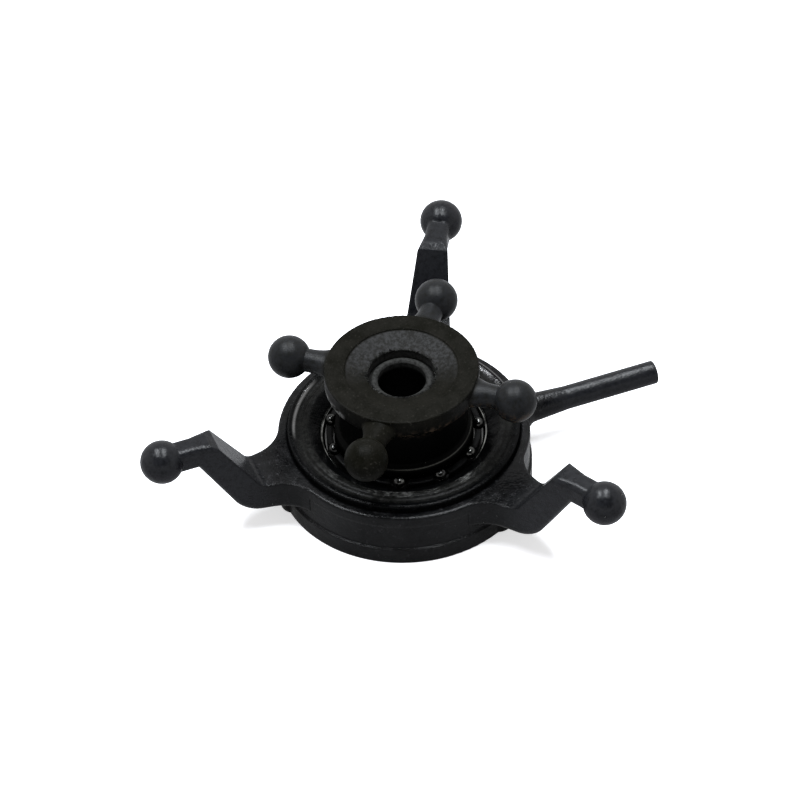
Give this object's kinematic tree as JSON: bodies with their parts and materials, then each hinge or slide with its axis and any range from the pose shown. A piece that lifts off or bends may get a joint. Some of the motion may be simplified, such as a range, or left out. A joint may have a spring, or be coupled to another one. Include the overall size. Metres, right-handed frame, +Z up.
{
  "type": "helicopter swashplate",
  "caption": "Small swashplate with cranked ball arms and an anti-rotation pin on its outer ring, a bearing, and a rotating inner star with ball studs around a central pivot ball.",
  "frame": {"origin": "centre of the pivot ball, on the main shaft axis", "axes": "+Z up the main shaft, +X along the anti-rotation pin, away from the ring"},
  "size_m": [0.0344, 0.0304, 0.0097],
  "materials": {
    "black_plastic": "satin moulded",
    "hub_plastic": "matte moulded",
    "bearing_steel": "ground",
    "ball_steel": "polished",
    "cage_plastic": "matte"
  },
  "bodies": {
    "outer_star": {"outer_ring": "black_plastic", "bearing_retainer_ring": "black_plastic", "bearing_outer_race": "bearing_steel"},
    "ball_cage": {"bearing_cage": "cage_plastic", "bearing_ball_01": "ball_steel", "bearing_ball_02": "ball_steel", "bearing_ball_03": "ball_steel", "bearing_ball_04": "ball_steel", "bearing_ball_05": "ball_steel", "bearing_ball_06": "ball_steel", "bearing_ball_07": "ball_steel", "bearing_ball_08": "ball_steel", "bearing_ball_09": "ball_steel", "bearing_ball_10": "ball_steel", "bearing_ball_11": "ball_steel"},
    "rotating_star": {"hub": "hub_plastic", "bearing_inner_race": "bearing_steel", "lower_seat_bush": "hub_plastic"},
    "pivot": {"pivot_ball": "hub_plastic"}
  },
  "joints": [
    {"name": "star_spin", "type": "hinge", "parent": "outer_star", "child": "rotating_star", "pos_m": [0, 0, 0], "axis": [0, 0, 1], "continuous": true},
    {"name": "cage_spin", "type": "hinge", "parent": "outer_star", "child": "ball_cage", "pos_m": [0, 0, 0], "axis": [0, 0, 1], "continuous": true},
    {"name": "pivot_tilt", "type": "hinge", "parent": "rotating_star", "child": "pivot", "pos_m": [0, 0, 0], "axis": [1, 0, 0], "range_deg": [-13, 13]}
  ],
  "couplings": [
    {"joint": "cage_spin", "follows": "star_spin", "ratio": 0.44}
  ]
}
